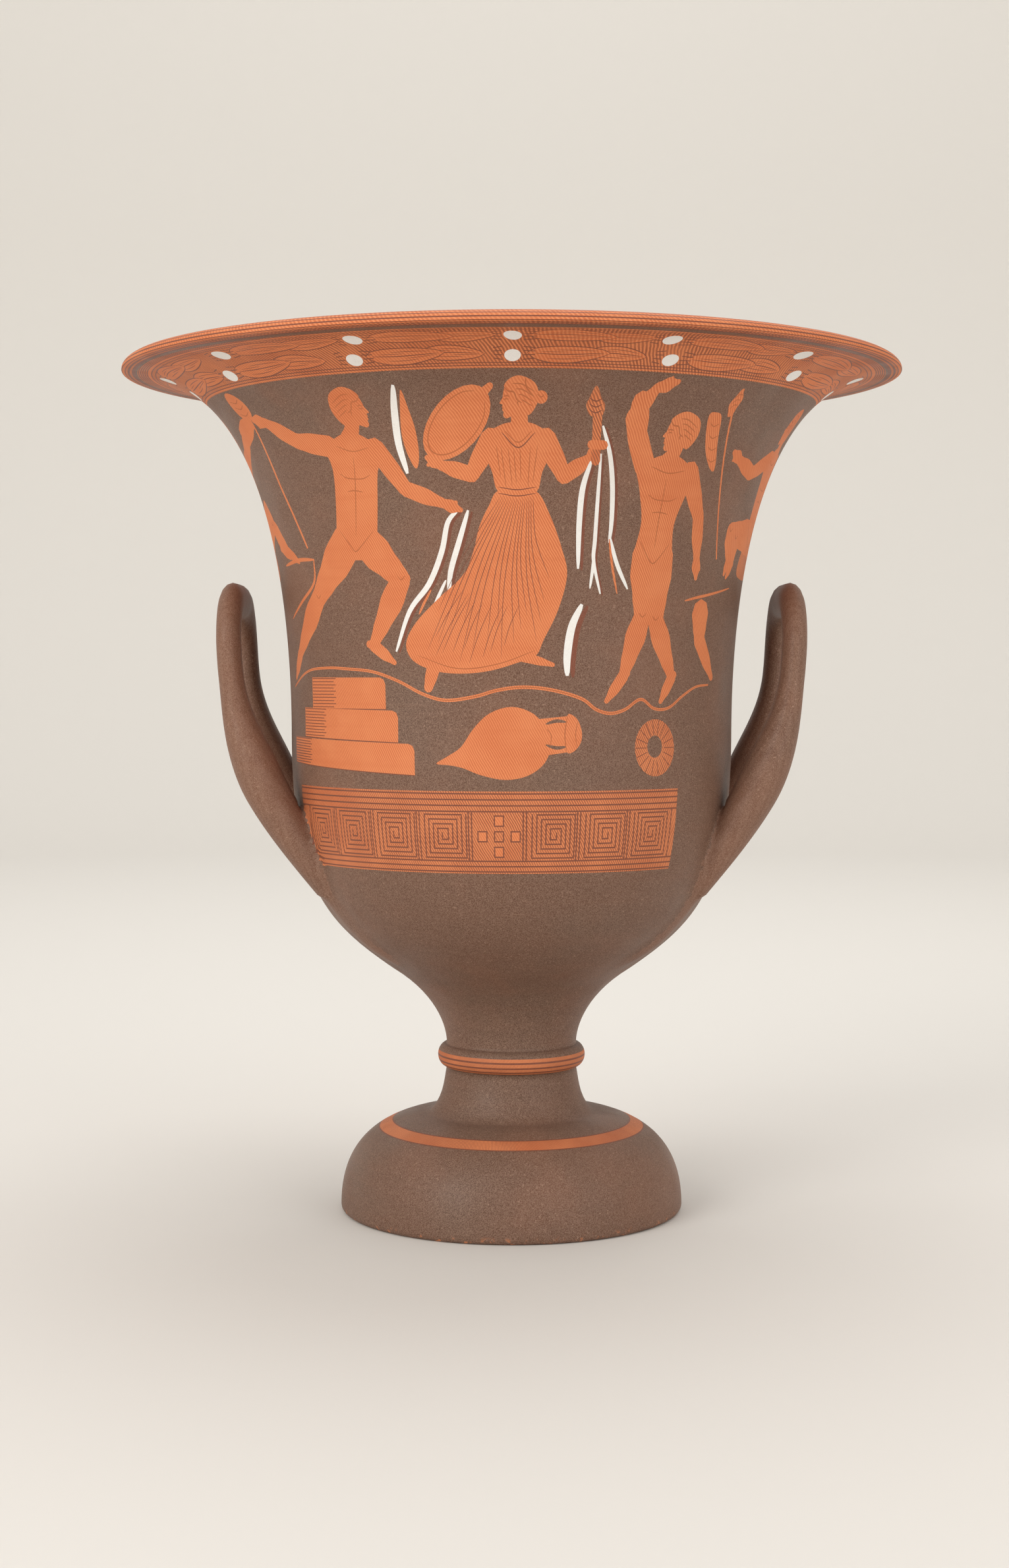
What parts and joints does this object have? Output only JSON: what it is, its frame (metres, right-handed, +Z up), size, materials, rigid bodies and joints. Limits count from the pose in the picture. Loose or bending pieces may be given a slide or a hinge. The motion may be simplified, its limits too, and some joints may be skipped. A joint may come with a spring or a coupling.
{
  "type": "calyx krater",
  "caption": "Red-figure calyx krater: a turned clay mixing bowl with a flared painted wall, a drooping lip, a stemmed foot and upturned loop handles.",
  "frame": {"origin": "centre of the face that the krater stands on", "axes": "+Z up along the axis of turning; the handles lie along X; the picture side faces -Y"},
  "size_m": [0.408, 0.408, 0.4475],
  "materials": {
    "dark_slip": "satin clay slip"
  },
  "bodies": {
    "root": {"calyx_krater": "dark_slip"}
  },
  "joints": []
}
